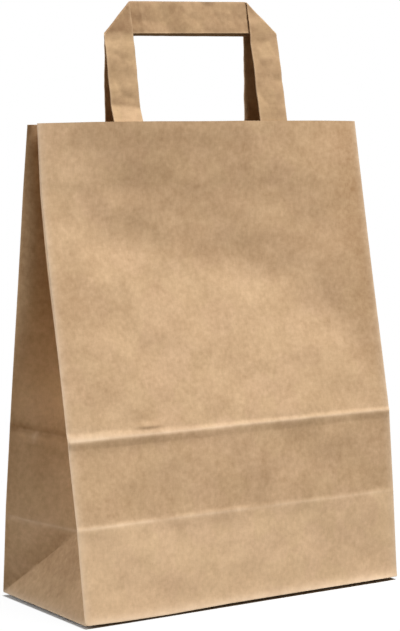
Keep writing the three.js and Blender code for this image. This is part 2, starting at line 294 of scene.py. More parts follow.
def layGrid(name, columns, rows, fold, looks):
    bpy.ops.object.select_all(action="DESELECT")
    bpy.ops.mesh.primitive_grid_add(x_subdivisions=len(columns) - 1, y_subdivisions=len(rows) - 1, size=2)
    piece = bpy.context.object
    piece.name = name
    mesh = piece.data
    mesh.name = name
    flat = np.empty(len(mesh.vertices) * 3)
    mesh.vertices.foreach_get("co", flat)
    flat = flat.reshape(-1, 3)
    across = np.rint((flat[:, 0] + 1) / 2 * (len(columns) - 1)).astype(int)
    up = np.rint((flat[:, 1] + 1) / 2 * (len(rows) - 1)).astype(int)
    sheetX = np.asarray(columns, float)[across]
    sheetY = np.asarray(rows, float)[up]
    folded = fold(sheetX, sheetY)
    mesh.vertices.foreach_set("co", (folded * mm).ravel())
    corner = np.empty(len(mesh.loops), int)
    mesh.loops.foreach_get("vertex_index", corner)
    layer = mesh.uv_layers.active
    layer.name = "sheet"
    layer.data.foreach_set("uv", (np.stack((sheetX, sheetY), 1)[corner] * mm).ravel())
    for title, amount in looks.items():
        layer = mesh.attributes.new(title, "FLOAT", "POINT")
        layer.data.foreach_set("value", np.clip(amount(sheetX, sheetY), 0, 1))
    mesh.update()
    return piece


def pick(piece):
    bpy.ops.object.select_all(action="DESELECT")
    piece.select_set(True)
    bpy.context.view_layer.objects.active = piece


def splitQuads(piece, chosen, method):
    # splits the chosen quads in two, chosen by the sheet place of their middles
    mesh = piece.data
    places = np.empty(len(mesh.loops) * 2)
    mesh.uv_layers["sheet"].data.foreach_get("uv", places)
    starts = np.empty(len(mesh.polygons), int)
    counts = np.empty(len(mesh.polygons), int)
    mesh.polygons.foreach_get("loop_start", starts)
    mesh.polygons.foreach_get("loop_total", counts)
    middles = np.add.reduceat(places.reshape(-1, 2), starts, axis=0) / counts[:, None] / mm
    picked = chosen(middles[:, 0], middles[:, 1]) & (counts == 4)
    pick(piece)
    bpy.ops.object.mode_set(mode="EDIT")
    bpy.ops.mesh.select_mode(type="FACE")
    bpy.ops.mesh.select_all(action="DESELECT")
    bpy.ops.object.mode_set(mode="OBJECT")
    mesh.polygons.foreach_set("select", picked)
    bpy.ops.object.mode_set(mode="EDIT")
    bpy.ops.mesh.quads_convert_to_tris(quad_method=method)
    bpy.ops.mesh.select_mode(type="VERT")
    bpy.ops.object.mode_set(mode="OBJECT")


sheetFinish = {
    "merge": 0.01,       # mm, closes the tube and the middle of the base
    "slivers": 0.005,
    "smooth": 30,        # degrees
}


def finishSheet(piece, thickness, slot, node):
    pick(piece)
    bpy.ops.object.mode_set(mode="EDIT")
    bpy.ops.mesh.select_all(action="SELECT")
    bpy.ops.mesh.remove_doubles(threshold=sheetFinish["merge"] * mm)
    bpy.ops.mesh.dissolve_degenerate(threshold=sheetFinish["slivers"] * mm)
    bpy.ops.mesh.normals_make_consistent(inside=False)
    bpy.ops.object.mode_set(mode="OBJECT")
    ply = piece.modifiers.new("ply", "SOLIDIFY")
    ply.thickness = thickness * mm
    ply.offset = 0
    bpy.ops.object.modifier_apply(modifier=ply.name)
    bpy.ops.object.shade_smooth_by_angle(angle=math.radians(sheetFinish["smooth"]))
    piece.data.materials.clear()
    piece.data.materials.append(papers[slot])
    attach(piece, "root")
    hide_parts(node)
    print("made", piece.name, "with", len(piece.data.polygons), "faces")


def smooth(value):
    value = np.clip(value, 0, 1)
    return value * value * (3 - 2 * value)


def hinge(value, width):
    # zero before the hinge, rising after it, round over its width
    return (value + np.sqrt(value ** 2 + width ** 2)) / 2


def tent(value, rise, fall):
    # a crease's ridge: the reach above the crest, then the one below it
    above = np.clip(1 - value / rise, 0, 1) * (value >= 0)
    below = np.clip(1 + value / fall, 0, 1) * (value < 0)
    return above + below


def waves(x, y, layer):
    # gentle unevenness of handled paper, from plane waves in every direction
    draw = np.random.default_rng(layer["seed"])
    total = np.zeros_like(x)
    for _ in range(layer["count"]):
        heading, phase = draw.uniform(0, 2 * math.pi, 2)
        length = draw.uniform(*layer["lengths"])
        wave = np.sin(2 * math.pi / length * (x * math.cos(heading) + y * math.sin(heading)) + phase)
        total += np.arcsin(wave) * 2 / math.pi if layer.get("creased") else wave
    return layer["height"] * total / math.sqrt(layer["count"] / 2)


crumpleSettings = {
    "reach": (240, 310),     # mm of paper that the scattered points cover
    "tip": 0.2,              # roundness of a cone's tip, as a share of the points' spacing
    "flat": 0.45,            # and the level that counts as flat
}


def crumple(x, y, layer):
    # facets of handled paper: cones about scattered points, which meet in straight creases
    draw = np.random.default_rng(layer["seed"])
    spacing = layer["spacing"]
    reachX, reachY = crumpleSettings["reach"]
    nearest = np.full_like(x, np.inf)
    for atX in np.arange(-spacing, reachX + spacing, spacing):
        for atY in np.arange(-spacing, reachY + spacing, spacing):
            shiftX, shiftY = draw.uniform(-0.5, 0.5, 2) * spacing
            nearest = np.minimum(nearest, (x - atX - shiftX) ** 2 + (y - atY - shiftY) ** 2)
    tip = crumpleSettings["tip"] * spacing
    flat = crumpleSettings["flat"] * spacing
    return layer["slope"] * (np.sqrt(nearest + tip ** 2) - flat)


def wander(x, swings):
    # how far a crease strays from straight: height, length and phase of each swing
    return sum(height * np.sin(x / length + phase) for height, length, phase in swings)


def boxOf(node):
    # a CAD node's box in mm, its low and high corners
    first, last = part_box(node)
    return np.array(first) / mm, np.array(last) / mm


# bag body: one sheet, folded into a tube with gussets and a block bottom
bagLow, bagHigh = boxOf("bag_body")
bagShape = {
    "width": bagHigh[0] - bagLow[0],
    "depth": 100.0,
    "height": 281.4,             # of the sheet, bottom fold to cut edge
    "paper": 0.16,
    "lowerCrease": 53.4,
    "rearLowerCrease": 48.0,
    "upperCrease": 102.4,
    # how the corner folds lean: sheet height, and distance in front of or behind the middle
    "frontLeft": ((0, -50.6), (53.4, -42.8), (102.4, -33.0), (243.4, -6.6), (281.4, -3.4)),
    "frontRight": ((0, -48.8), (53.4, -45.2), (102.4, -41.2), (281.4, -6.8)),
    "backRight": ((0, 49.6), (53.4, 45.0), (102.4, 38.0), (281.4, 7.0)),
    "backLeft": ((0, 49.0), (53.4, 43.6), (102.4, 36.6), (241.4, 12.8), (281.4, 4.8)),
    "backSkew": -2.0,            # the back panel leans to the left at the mouth
    # the cut edge isn't quite square: how much longer the sheet is at each corner fold
    "cutEdge": {"frontLeft": 1.2, "frontRight": -0.4, "backRight": -1.3, "backLeft": -0.1},
    "cutEdgeFrom": (200, 80),    # sheet height where that starts, and the reach over which it comes in
    "runOn": 20.0,               # the folds are worked out this far past the cut edge
    "footLevel": 1.8,            # bottom fold above the floor
    # and how much further it is lifted: place round the tube, from the back left corner, and height
    "footLift": ((0, 0.6), (50, 0.5), (98, 0.2), (125, -0.6), (155, -0.8), (195, -0.1), (240, 0), (320, 0),
                 (420, 0.3), (640, 0.6)),
    "footLiftReach": 30.0,
    "foldRadius": 0.8,
    "panelLean": 10.0,           # degrees, of the way in which the panels bulge
    "heldEdge": 22.0,            # slack fades out over this much beside the folds
    "heldFoot": 18.0,
}
halfWidth = bagShape["width"] / 2
halfDepth = bagShape["depth"] / 2
sheetHeight = bagShape["height"]
plainTone = 0.5
# round the tube: left gusset, front, right gusset, back
cornerPlaces = np.cumsum((0, bagShape["depth"], bagShape["width"], bagShape["depth"], bagShape["width"]))


def stationed(x, stations):
    # a value given at places across the panel or round the tube
    return np.interp(x, *zip(*stations))


def cornerFold(name):
    # the fold as points (sheet height, distance, level), its length kept
    points = []
    level = bagShape["footLevel"]
    for index, (up, out) in enumerate(bagShape[name]):
        if index:
            lastUp, lastOut, _ = points[-1]
            level += math.sqrt((up - lastUp) ** 2 - (out - lastOut) ** 2)
        points.append((up, out, level))
    (up, out, top), (before, lastOut, lastLevel) = points[-1], points[-2]
    share = bagShape["runOn"] / (up - before)
    points.append((up + bagShape["runOn"], out + share * (out - lastOut), top + share * (top - lastLevel)))
    return np.array(points)


cornerFolds = {name: cornerFold(name) for name in ("frontLeft", "frontRight", "backRight", "backLeft")}


def onCorner(name, up):
    fold = cornerFolds[name]
    side = -halfWidth if name.endswith("Left") else halfWidth
    out = np.interp(up, fold[:, 0], fold[:, 1])
    level = np.interp(up, fold[:, 0], fold[:, 2])
    skew = bagShape["backSkew"] if name.startswith("back") else 0
    foot = bagShape["upperCrease"]
    x = side + skew * np.maximum((up - foot) / (sheetHeight - foot), 0)
    return np.stack((x, out, level), 1)


def centreCrease(front, back, side):
    # the gusset's centre crease: inset so that each half keeps its paper width
    mouthBend = bagShape["frontLeft"][-2][0]
    pastEdge = sheetHeight + bagShape["runOn"]
    heights = np.array((halfDepth, bagShape["upperCrease"], mouthBend, sheetHeight, pastEdge))
    first = onCorner(front, heights)
    second = onCorner(back, heights)
    half = (second[:, 1] - first[:, 1]) / 2
    inset = np.sqrt(halfDepth ** 2 - np.minimum(half, halfDepth) ** 2)
    level = [math.sqrt(halfDepth ** 2 - inset[0] ** 2)]
    for index in range(1, len(heights)):
        run = heights[index] - heights[index - 1]
        level.append(level[-1] + math.sqrt(run ** 2 - (inset[index] - inset[index - 1]) ** 2))
    points = np.stack((side * (halfWidth - inset), (first[:, 1] + second[:, 1]) / 2, level), 1)
    return heights, points


creases = {
    "left": centreCrease("frontLeft", "backLeft", -1),
    "right": centreCrease("frontRight", "backRight", 1),
}


def onCrease(name, up):
    heights, points = creases[name]
    return np.stack([np.interp(up, heights, points[:, axis]) for axis in range(3)], 1)


# front panel: places are x, or x and sheet height
frontShape = {
    "dish": 6.8,                 # pressed in between creases and mouth
    "dishFoot": 3.0,
    "mouthBulge": 3.8,
    "dishLine": ((-110, 218), (-40, 212), (45, 191), (68, 183), (88, 150), (110, 124)),
    "dishRound": 8.0,
    "upperRidge": ((-110, 1.4), (-70, 1.2), (-20, 0.85), (40, 0.75), (110, 0.75)),
    "upperRise": ((-110, 5.0), (-40, 3.4), (0, 2.0), (110, 1.6)),   # reach above the crest
    "upperFall": ((-110, 5.6), (0, 5.2), (110, 5.2)),               # and below it
    "upperWander": ((0.35, 37, 0), (0.2, 12, 1)),
    # a second, slight ridge below the left end: drop, height, reach, and where it fades out
    "secondRidge": (5.6, 0.22, (1.2, 2.0), (-76, 22)),
    # the lower crease is interrupted in two places
    "lowerRidge": ((-110, 0.5), (-62, 0.45), (-54, 0.08), (-46, 0.45),
                   (2, 0.36), (12, 0.08), (22, 0.34), (110, 0.2)),
    "lowerReach": (1.6, 6.5),
    "lowerWander": ((0.4, 27, 2),),
    "footFlare": ((-110, 0.9), (20, 1.1), (100, 1.7), (110, 1.2)),
    "footFlareReach": 2.4,
    # buckles beside the upper crease: place, half width with rise and fall, height
    "dents": (((-58, 106.8), (10, 3.6, 1.1), 0.9), ((55.5, 103.4), (2.6, 2.4, 1.4), 0.5)),
    "cornerBuckle": ((66, 41), (85, 20), 0.3, 3.0),   # from, to, height, reach
    "buckleFade": (0.2, 0.3),    # past its ends, and over this share of its length
}


def frontForm(share, up):
    # how far the front panel stands out from straight between its corner folds
    shape = frontShape
    x = (share - 0.5) * bagShape["width"]
    middle = 1 - (2 * share - 1) ** 2
    wide = 1 - (2 * share - 1) ** 4
    # pressed in between the upper crease and the mouth, deepest on a slanting line
    deepest = stationed(x, shape["dishLine"])
    foot = bagShape["upperCrease"]
    fall = shape["dish"] * middle / (deepest - foot)
    lift = (shape["dish"] * middle + shape["mouthBulge"] * wide) / (sheetHeight - deepest)
    form = (fall + lift) * hinge(up - deepest, shape["dishRound"])
    form -= fall * hinge(up - foot, shape["dishFoot"])
    # the two creases from the bag's flat folding, high on the left and nearly flat on the right
    crest = foot + wander(x, shape["upperWander"])
    rise = stationed(x, shape["upperRise"])
    form += stationed(x, shape["upperRidge"]) * tent(up - crest, rise, stationed(x, shape["upperFall"]))
    drop, height, reach, (fadeX, fadeReach) = shape["secondRidge"]
    form += height * tent(up - crest + drop, *reach) * smooth((fadeX - x) / fadeReach)
    lowCrest = bagShape["lowerCrease"] + wander(x, shape["lowerWander"])
    form += stationed(x, shape["lowerRidge"]) * tent(up - lowCrest, *shape["lowerReach"])
    for (atX, atUp), (wideX, rise, fall), height in shape["dents"]:
        form += height * np.clip(1 - ((x - atX) / wideX) ** 2, 0, 1) * tent(up - atUp, rise, fall)
    (startX, startUp), (endX, endUp), height, reach = shape["cornerBuckle"]
    length = math.hypot(endX - startX, endUp - startUp)
    aside = ((x - startX) * (startUp - endUp) + (up - startUp) * (endX - startX)) / length
    along = ((x - startX) * (endX - startX) + (up - startUp) * (endUp - startUp)) / length ** 2
    past, fade = shape["buckleFade"]
    ends = smooth((along + past) / fade) * smooth((1 + past - along) / fade)
    form += height * tent(aside, reach, reach) * ends
    # the bottom fold flares out a little, more so at the right
    form += stationed(x, shape["footFlare"]) * np.exp(-up / shape["footFlareReach"])
    return form


# back panel
backShape = {
    "dish": 2.6,
    "dishSpan": 190.0,
    "upperRidge": 0.8,
    "upperReach": (4, 4),
    "upperWander": ((0.6, 25, 0),),
    "lowerRidge": 0.3,
    "lowerReach": (1.6, 2.2),
    "lowerWander": ((0.4, 22, 0),),
    "seamLap": (1.0, 19.0),      # glued overlap, from the right corner fold
    "seamHeight": 0.22,
}


def backForm(share, up):
    shape = backShape
    x = (share - 0.5) * bagShape["width"]
    middle = 1 - (2 * share - 1) ** 2
    fromCrease = up - bagShape["upperCrease"]
    form = -shape["dish"] * middle * np.sin(math.pi * np.clip(fromCrease / shape["dishSpan"], 0, 1))
    form += shape["upperRidge"] * tent(fromCrease - wander(x, shape["upperWander"]), *shape["upperReach"])
    fromLower = up - bagShape["rearLowerCrease"] - wander(x, shape["lowerWander"])
    form += shape["lowerRidge"] * tent(fromLower, *shape["lowerReach"])
    fromCorner = halfWidth - x
    inner, outer = shape["seamLap"]
    form += shape["seamHeight"] * smooth(fromCorner / inner) * (fromCorner < outer)
    return form


# slack of handled paper: broad waves, finer ones, and facets
def panelLayers(seed, lengths, height):
    return (
        {"seed": seed, "count": 12, "lengths": lengths, "height": height},
        {"seed": seed + 1, "count": 9, "lengths": (26, 48), "height": 0.07, "creased": True},
        {"seed": seed + 2, "spacing": 34, "slope": 0.030},
        {"seed": seed + 3, "spacing": 15, "slope": 0.032},
    )


def gussetLayers(seed):
    return (
        {"seed": seed, "count": 10, "lengths": (30, 60), "height": 0.22},
        {"seed": seed + 1, "count": 14, "lengths": (12, 24), "height": 0.05},
    )


slackLayers = {
    "front": panelLayers(21, (42, 75), 0.22),
    "back": panelLayers(31, (45, 85), 0.30),
    "left": gussetLayers(41),
    "right": gussetLayers(51),
}


def panelSlack(name, share, up):
    # the slack fades out towards the folds that hold the panel
    length = bagShape["width"] if name in ("front", "back") else bagShape["depth"]
    x = share * length
    edge = np.minimum(x, length - x)
    held = smooth(edge / bagShape["heldEdge"]) * smooth(up / bagShape["heldFoot"])
    return held * sum((crumple if "slope" in layer else waves)(x, up, layer) for layer in slackLayers[name])


facings = {"front": -1, "back": 1}   # along Y


def panelShare(x):
    # how far x is on the way from the left corner fold to the right one
    return np.clip(x / bagShape["width"] + 0.5, 0, 1)


def onPanel(name, share, up):
    left = onCorner(name + "Left", up)
    right = onCorner(name + "Right", up)
    point = left + (right - left) * share[:, None]
    form = frontForm if name == "front" else backForm
    out = panelSlack(name, share, up) + form(share, up)
    lean = math.radians(bagShape["panelLean"])
    point[:, 1] += facings[name] * math.cos(lean) * out
    point[:, 2] += math.sin(lean) * out
    return point


# gussets, the same on both sides
gussetShape = {
    "flare": 3.0,                # how soon the halves close up behind the corner folds
    "shutFrom": (120, 130),      # sheet height where they start to close, and the reach of that
    "shutShare": 0.8,
    "heldCentre": 10.0,          # slack fades out beside the centre crease
    "upperGroove": (1.6, 3.5, 3.0),   # depth, and reach above and below
    "lowerGroove": (0.5, 1.6, 1.6),
    "grooveFade": 4.0,
    "leastReach": 1e-6,          # keeps the shares finite at the foot
}


def onGusset(name, across, up):
    # across runs over the gusset's paper from its front corner fold to its back one
    side = "Left" if name == "left" else "Right"
    fromFold = np.minimum(across, bagShape["depth"] - across)
    front = across <= halfDepth
    nearest = np.where(front[:, None], onCorner("front" + side, up), onCorner("back" + side, up))
    centre = onCrease(name, np.maximum(up, halfDepth))
    foot = np.zeros_like(up)
    footFront = onCorner("front" + side, foot)
    footBack = onCorner("back" + side, foot)
    apex = onCrease(name, foot + halfDepth)
    # the standing triangle of the block bottom, and the diagonal crease along its edge
    def onTriangle(acrossHere, upHere):
        along = footFront + (footBack - footFront) * (acrossHere / bagShape["depth"])[:, None]
        return along + (apex - (footFront + footBack) / 2) * (upHere / halfDepth)[:, None]
    reach = np.clip(up, gussetShape["leastReach"], halfDepth)
    diagonal = onTriangle(np.where(front, reach, bagShape["depth"] - reach), reach)
    inner = np.where((up < halfDepth)[:, None], diagonal, centre)
    share = np.minimum(fromFold / reach, 1)
    upper = nearest + (inner - nearest) * share[:, None]
    # towards the mouth the two halves lie together, and part only beside the corner folds
    shutStart, shutReach = gussetShape["shutFrom"]
    shut = gussetShape["shutShare"] * smooth((up - shutStart) / shutReach)
    closing = 1 - np.exp(-fromFold / gussetShape["flare"])
    upper[:, 1] += shut * (inner[:, 1] - nearest[:, 1]) * (closing - share)
    point = np.where((up <= fromFold)[:, None], onTriangle(across, up), upper)
    out = panelSlack(name, across / bagShape["depth"], up)
    out = out * smooth(np.abs(across - halfDepth) / gussetShape["heldCentre"])
    # the creases run on over the gussets as shallow grooves, and the lower one slopes to the back
    backShare = across / bagShape["depth"]
    lower = bagShape["lowerCrease"] + (bagShape["rearLowerCrease"] - bagShape["lowerCrease"]) * backShare
    fade = smooth(fromFold / gussetShape["grooveFade"])
    for crease, groove in ((bagShape["upperCrease"], "upperGroove"), (lower, "lowerGroove")):
        depth, rise, fall = gussetShape[groove]
        out = out - depth * tent(up - crease, rise, fall) * fade
    point[:, 0] += (-1 if name == "left" else 1) * out
    return point


# base: two flaps over the tucked ends
baseShape = {
    "flapLevel": 0.1,            # the outer flap's middle ply above the floor
    "flapStep": 0.25,            # up to the inner flap
    "flapLap": 13.0,             # the rear flap reaches this far past the middle
    "lapEdge": 0.8,
    "tuckEdge": 6.0,             # the step is softer on the tucked ends
    "tuckMargin": 0.1,
    "settle": 20.0,              # from the bottom fold inward to the flat part
}


def onBase(point, inward):
    # under the bag every side turns in towards the middle, mitred at the corners
    shape = baseShape
    reach = np.clip(inward, 0, halfDepth)
    x = point[:, 0] * (1 - reach / halfWidth)
    y = point[:, 1] * (1 - reach / halfDepth)
    settle = smooth(reach / shape["settle"])
    level = point[:, 2] * (1 - settle) + (shape["flapLevel"] + shape["flapStep"]) * settle
    onTuck = np.abs(x) > halfWidth - reach - shape["tuckMargin"]
    edge = np.where(onTuck, shape["tuckEdge"], shape["lapEdge"])
    level = level - shape["flapStep"] * settle * smooth((y + shape["flapLap"]) / edge + 0.5)
    return np.stack((x, y, level), 1)


def foldPoint(u, up):
    # u runs round the tube, from the back left corner fold
    depth, width = bagShape["depth"], bagShape["width"]
    u = np.mod(u, cornerPlaces[-1])
    longer = bagShape["cutEdge"]
    longer = [longer[name] for name in ("backLeft", "frontLeft", "frontRight", "backRight", "backLeft")]
    start, reach = bagShape["cutEdgeFrom"]
    standing = np.maximum(up, 0) + np.interp(u, cornerPlaces, longer) * smooth((up - start) / reach)
    point = np.empty((len(u), 3))
    parts = (
        lambda a, b: onGusset("left", depth - a, b),
        lambda a, b: onPanel("front", a / width, b),
        lambda a, b: onGusset("right", a, b),
        lambda a, b: onPanel("back", 1 - a / width, b),
    )
    for start, end, place in zip(cornerPlaces[:-1], cornerPlaces[1:], parts):
        here = (u >= start) & (u < end)
        if here.any():
            point[here] = place(u[here] - start, standing[here])
    point[:, 2] += stationed(u, bagShape["footLift"]) * (1 - smooth(standing / bagShape["footLiftReach"]))
    under = up < 0
    if under.any():
        point[under] = onBase(point[under], -up[under])
    return point


def roundedFold(u, up):
    # folds are rounded by averaging the sharp form over a small reach, which ends at the base's middle
    radius = bagShape["foldRadius"]
    reach = np.minimum(radius, up + halfDepth)
    total = 0
    for du, weightU in ((-1, 1), (0, 2), (1, 1)):
        for dv, weightV in ((-1, 1), (0, 2), (1, 1)):
            total = total + weightU * weightV / 16 * foldPoint(u + du * radius, up + dv * reach)
    return total


# pale rubbed fibres on the folds, with painted highlights where folds and crests face the light: amounts,
# and reach in mm
wearAndHighlightSettings = {
    "corner": (1.7, 0.5),        # reach onto the panel, and onto the gusset; the wider reach onto the lit panel is a painted highlight
    # painted highlight on the upper crest's lit upper side, over pale rubbed fibres, strongest at the left:
    # x, amount, reach
    "crest": ((-111, 0.1, 1.2), (-110, 0.85, 3.4), (-65, 0.6, 1.4), (110, 0.4, 1.2), (111, 0.1, 1.2)),
    "crestBelow": 0.8,
    "lower": (1.1, 0.9),         # painted highlight on the lower crease's ridge: share of the ridge's height, and reach
    "nicks": ((15.5, 99.6, 1.5, 2.8),),   # place round the tube, height, and reach both ways
    # painted highlight on the rim of the bottom fold: reach in mm
    "bottom": 2.0,
}


def bodyWearAndHighlight(u, up):
    x = u - bagShape["depth"] - halfWidth
    panelReach, gussetReach = wearAndHighlightSettings["corner"]
    fold = np.zeros_like(u)
    for place, side in zip(cornerPlaces[1:4], (1, -1, 1)):
        fromFold = (u - place) * side
        reach = np.where(fromFold > 0, panelReach, gussetReach)
        fold = np.maximum(fold, np.exp(-np.abs(fromFold) / reach))
    places, amounts, reaches = zip(*wearAndHighlightSettings["crest"])
    fromCrest = up - bagShape["upperCrease"]
    reach = np.where(fromCrest > 0, np.interp(x, places, reaches), wearAndHighlightSettings["crestBelow"])
    fold = np.maximum(fold, np.interp(x, places, amounts) * np.exp(-np.abs(fromCrest) / reach))
    front, rear = bagShape["lowerCrease"], bagShape["rearLowerCrease"]
    lower = np.interp(u, cornerPlaces, (rear, front, front, rear, rear))
    share, reach = wearAndHighlightSettings["lower"]
    ridge = stationed(x, frontShape["lowerRidge"])
    fold = np.maximum(fold, share * ridge * np.exp(-np.abs(up - lower) / reach))
    for atU, atUp, reachU, reachUp in wearAndHighlightSettings["nicks"]:
        fold = np.maximum(fold, np.exp(-((u - atU) / reachU) ** 2 - ((up - atUp) / reachUp) ** 2))
    return np.maximum(fold, np.exp(-np.abs(up) / wearAndHighlightSettings["bottom"]))


# painted light and shade in broad areas of the body's paper, and random blotches: tones are shares of the
# way from dark to light
toneAndPaintedShadeSettings = {
    "edge": 4.0,                 # mm over which the front panel's tones end
    "abovePress": (-0.10, 30),   # painted shade above the slanting press line: tone, and reach
    "betweenCreases": (-0.05, 3, 4),   # painted shade between the creases: tone, reach below the upper crease, and above the lower one
    # painted light on the strip below the lower crease: tone, and reach
    "foot": (0.26, 1.6),
    # painted light and shade in soft areas of the front panel, darkest beside the right fold: middle, half
    # width and half height, tone
    "soft": (((112, 225), (26, 78), -0.26), ((-92, 255), (24, 40), 0.14),
             ((-100, 186), (26, 26), -0.14), ((-70, 44), (28, 16), 0.10)),
    "wander": {"seed": 71, "count": 10, "lengths": (30, 70), "height": 7.0},     # mm
    "blotch": {"seed": 72, "count": 30, "lengths": (18, 46), "height": 0.012},
}
# painted shade and light on the gussets: tones are shares of the way from dark to light
gussetPaintedShades = {
    "backEdge": 2.0,
    "top": (-0.24, 28, 110),     # painted shade towards the mouth: tone, start above the upper crease, and reach
    "middle": (0.3, 14, 52, 36),   # painted light in the middle: tone, reach up from the crease, end, and reach down from there
    "aboveCrease": (-0.2, 0.6, (5, 1)),   # painted shade band above the crease: tone, place above the crease, and reach up and down
    "creaseSpot": (1.4, 10, 5),    # how much stronger the painted shade band is, at this distance from the back fold, and reach
    # painted light below the crease: tone, place, and reach up and down
    "belowCrease": (0.2, -3.4, (2.6, 5)),
    "triangle": (-0.28, -12, 50),  # painted shade on the standing triangle: tone, start, and reach
    "diagonal": (-0.26, 5, 56),    # painted shade along the triangle's upper edge: tone, reach, and top
    # painted shade along the back fold: tone, and reach
    "backFold": (-0.3, 2),
}


def gussetPaintedShade(u, up):
    # painted light and shade on the gussets
    paintedShadesAndTones = gussetPaintedShades
    depth = bagShape["depth"]
    # distance from the back corner fold, on either gusset
    fromBack = np.where(u < depth + halfWidth, u, cornerPlaces[3] - u)
    frontEdge = toneAndPaintedShadeSettings["edge"]
    inside = smooth(fromBack / paintedShadesAndTones["backEdge"] + 0.5) * smooth((depth + frontEdge - fromBack) / frontEdge)
    fromCrease = up - bagShape["upperCrease"]
    tone, start, reach = paintedShadesAndTones["top"]
    total = tone * smooth((fromCrease - start) / reach)
    tone, rise, end, fall = paintedShadesAndTones["middle"]
    total = total + tone * smooth(fromCrease / rise) * smooth((end - fromCrease) / fall)
    tone, place, reach = paintedShadesAndTones["aboveCrease"]
    extra, spot, wide = paintedShadesAndTones["creaseSpot"]
    stronger = 1 + extra * np.exp(-((fromBack - spot) / wide) ** 2)
    total = total + tone * tent(fromCrease - place, *reach) * stronger
    tone, place, reach = paintedShadesAndTones["belowCrease"]
    total = total + tone * tent(fromCrease - place, *reach)
    # painted shade on the standing triangle, darker up towards its point, and along its upper edge
    past = (up - np.minimum(fromBack, depth - fromBack)) / math.sqrt(2)
    tone, start, reach = paintedShadesAndTones["triangle"]
    total = total + tone * smooth(0.5 - past) * smooth((up - start) / reach)
    tone, reach, end = paintedShadesAndTones["diagonal"]
    total = total + tone * smooth(past + 0.5) * np.exp(-np.maximum(past, 0) / reach) * (up < end)
    tone, reach = paintedShadesAndTones["backFold"]
    return inside * (total + tone * np.exp(-np.abs(fromBack) / reach))


def bodyToneAndPaintedShade(u, up):
    paintedShadesAndTones = toneAndPaintedShadeSettings
    x = u - bagShape["depth"] - halfWidth
    lower, upper = bagShape["lowerCrease"], bagShape["upperCrease"]
    onFront = smooth((halfWidth + paintedShadesAndTones["edge"] - np.abs(x)) / paintedShadesAndTones["edge"])
    # painted shade above the slanting press line, its edge wandering
    press = stationed(x, frontShape["dishLine"]) + waves(x, up, paintedShadesAndTones["wander"])
    tone, reach = paintedShadesAndTones["abovePress"]
    areas = tone * smooth((up - press) / reach + 0.5)
    tone, below, above = paintedShadesAndTones["betweenCreases"]
    areas = areas + tone * smooth((upper - up) / below) * smooth((up - lower) / above)
    for (atX, atUp), (wide, tall), tone in paintedShadesAndTones["soft"]:
        areas = areas + tone * np.exp(-((x - atX) / wide) ** 2 - ((up - atUp) / tall) ** 2)
    tone, reach = paintedShadesAndTones["foot"]
    areas = areas + tone * smooth((lower - up) / reach + 0.5)
    areas = onFront * areas + (1 - onFront) * gussetPaintedShade(u, up)
    return plainTone + areas + waves(x, up, paintedShadesAndTones["blotch"])


bodyMesh = {
    "nearFold": (0.5, 1.2, 2.5),     # mm, stations beside a fold
    "gussetPitch": 1.9,
    "panelPitch": 2.9,
    "onCrease": 0.05,                # mm, a quad's middle counts as on a crease
    "baseRows": (-50, -46, -41, -37.4, -36.6, -31, -25, -19, -14, -9, -5, -2.5, -1.2, -0.5),
    # above the gussets' triangles, closer at the two creases: from, to, pitch
    "upperRows": ((50, 57, 0.8), (58, 96.5, 3.0), (97, 110.4, 0.7), (111.4, 281, 2.75)),
}


def onDiagonal(corners, turn):
    # quads on the creases that run up at 45 degrees from these places on the bottom fold
    def chosen(u, up):
        near = bodyMesh["onCrease"]
        beside = [np.abs((u - corner) * turn - up) < near for corner in corners]
        return np.any(beside, axis=0) & (up > 0) & (up < halfDepth)
    return chosen


halfGusset = steps(halfDepth, bodyMesh["gussetPitch"], bodyMesh["nearFold"])
panelColumns = steps(bagShape["width"], bodyMesh["panelPitch"], bodyMesh["nearFold"])
bodyColumns = joined(halfGusset, halfGusset, panelColumns, halfGusset, halfGusset, panelColumns)
upperRows = [np.arange(*stretch) for stretch in bodyMesh["upperRows"]]
bodyRows = np.concatenate((bodyMesh["baseRows"], halfGusset[:-1], *upperRows, (sheetHeight,)))
bodyLooks = {"foldWearAndHighlight": bodyWearAndHighlight, "sheetToneAndShade": bodyToneAndPaintedShade}
bagBody = layGrid("bagBody", bodyColumns, bodyRows, roundedFold, bodyLooks)
splitQuads(bagBody, onDiagonal(cornerPlaces[[0, 2]], 1), "FIXED")
splitQuads(bagBody, onDiagonal(cornerPlaces[[1, 3]], -1), "FIXED_ALTERNATE")
finishSheet(bagBody, bagShape["paper"], "kraft_paper", "bag_body")


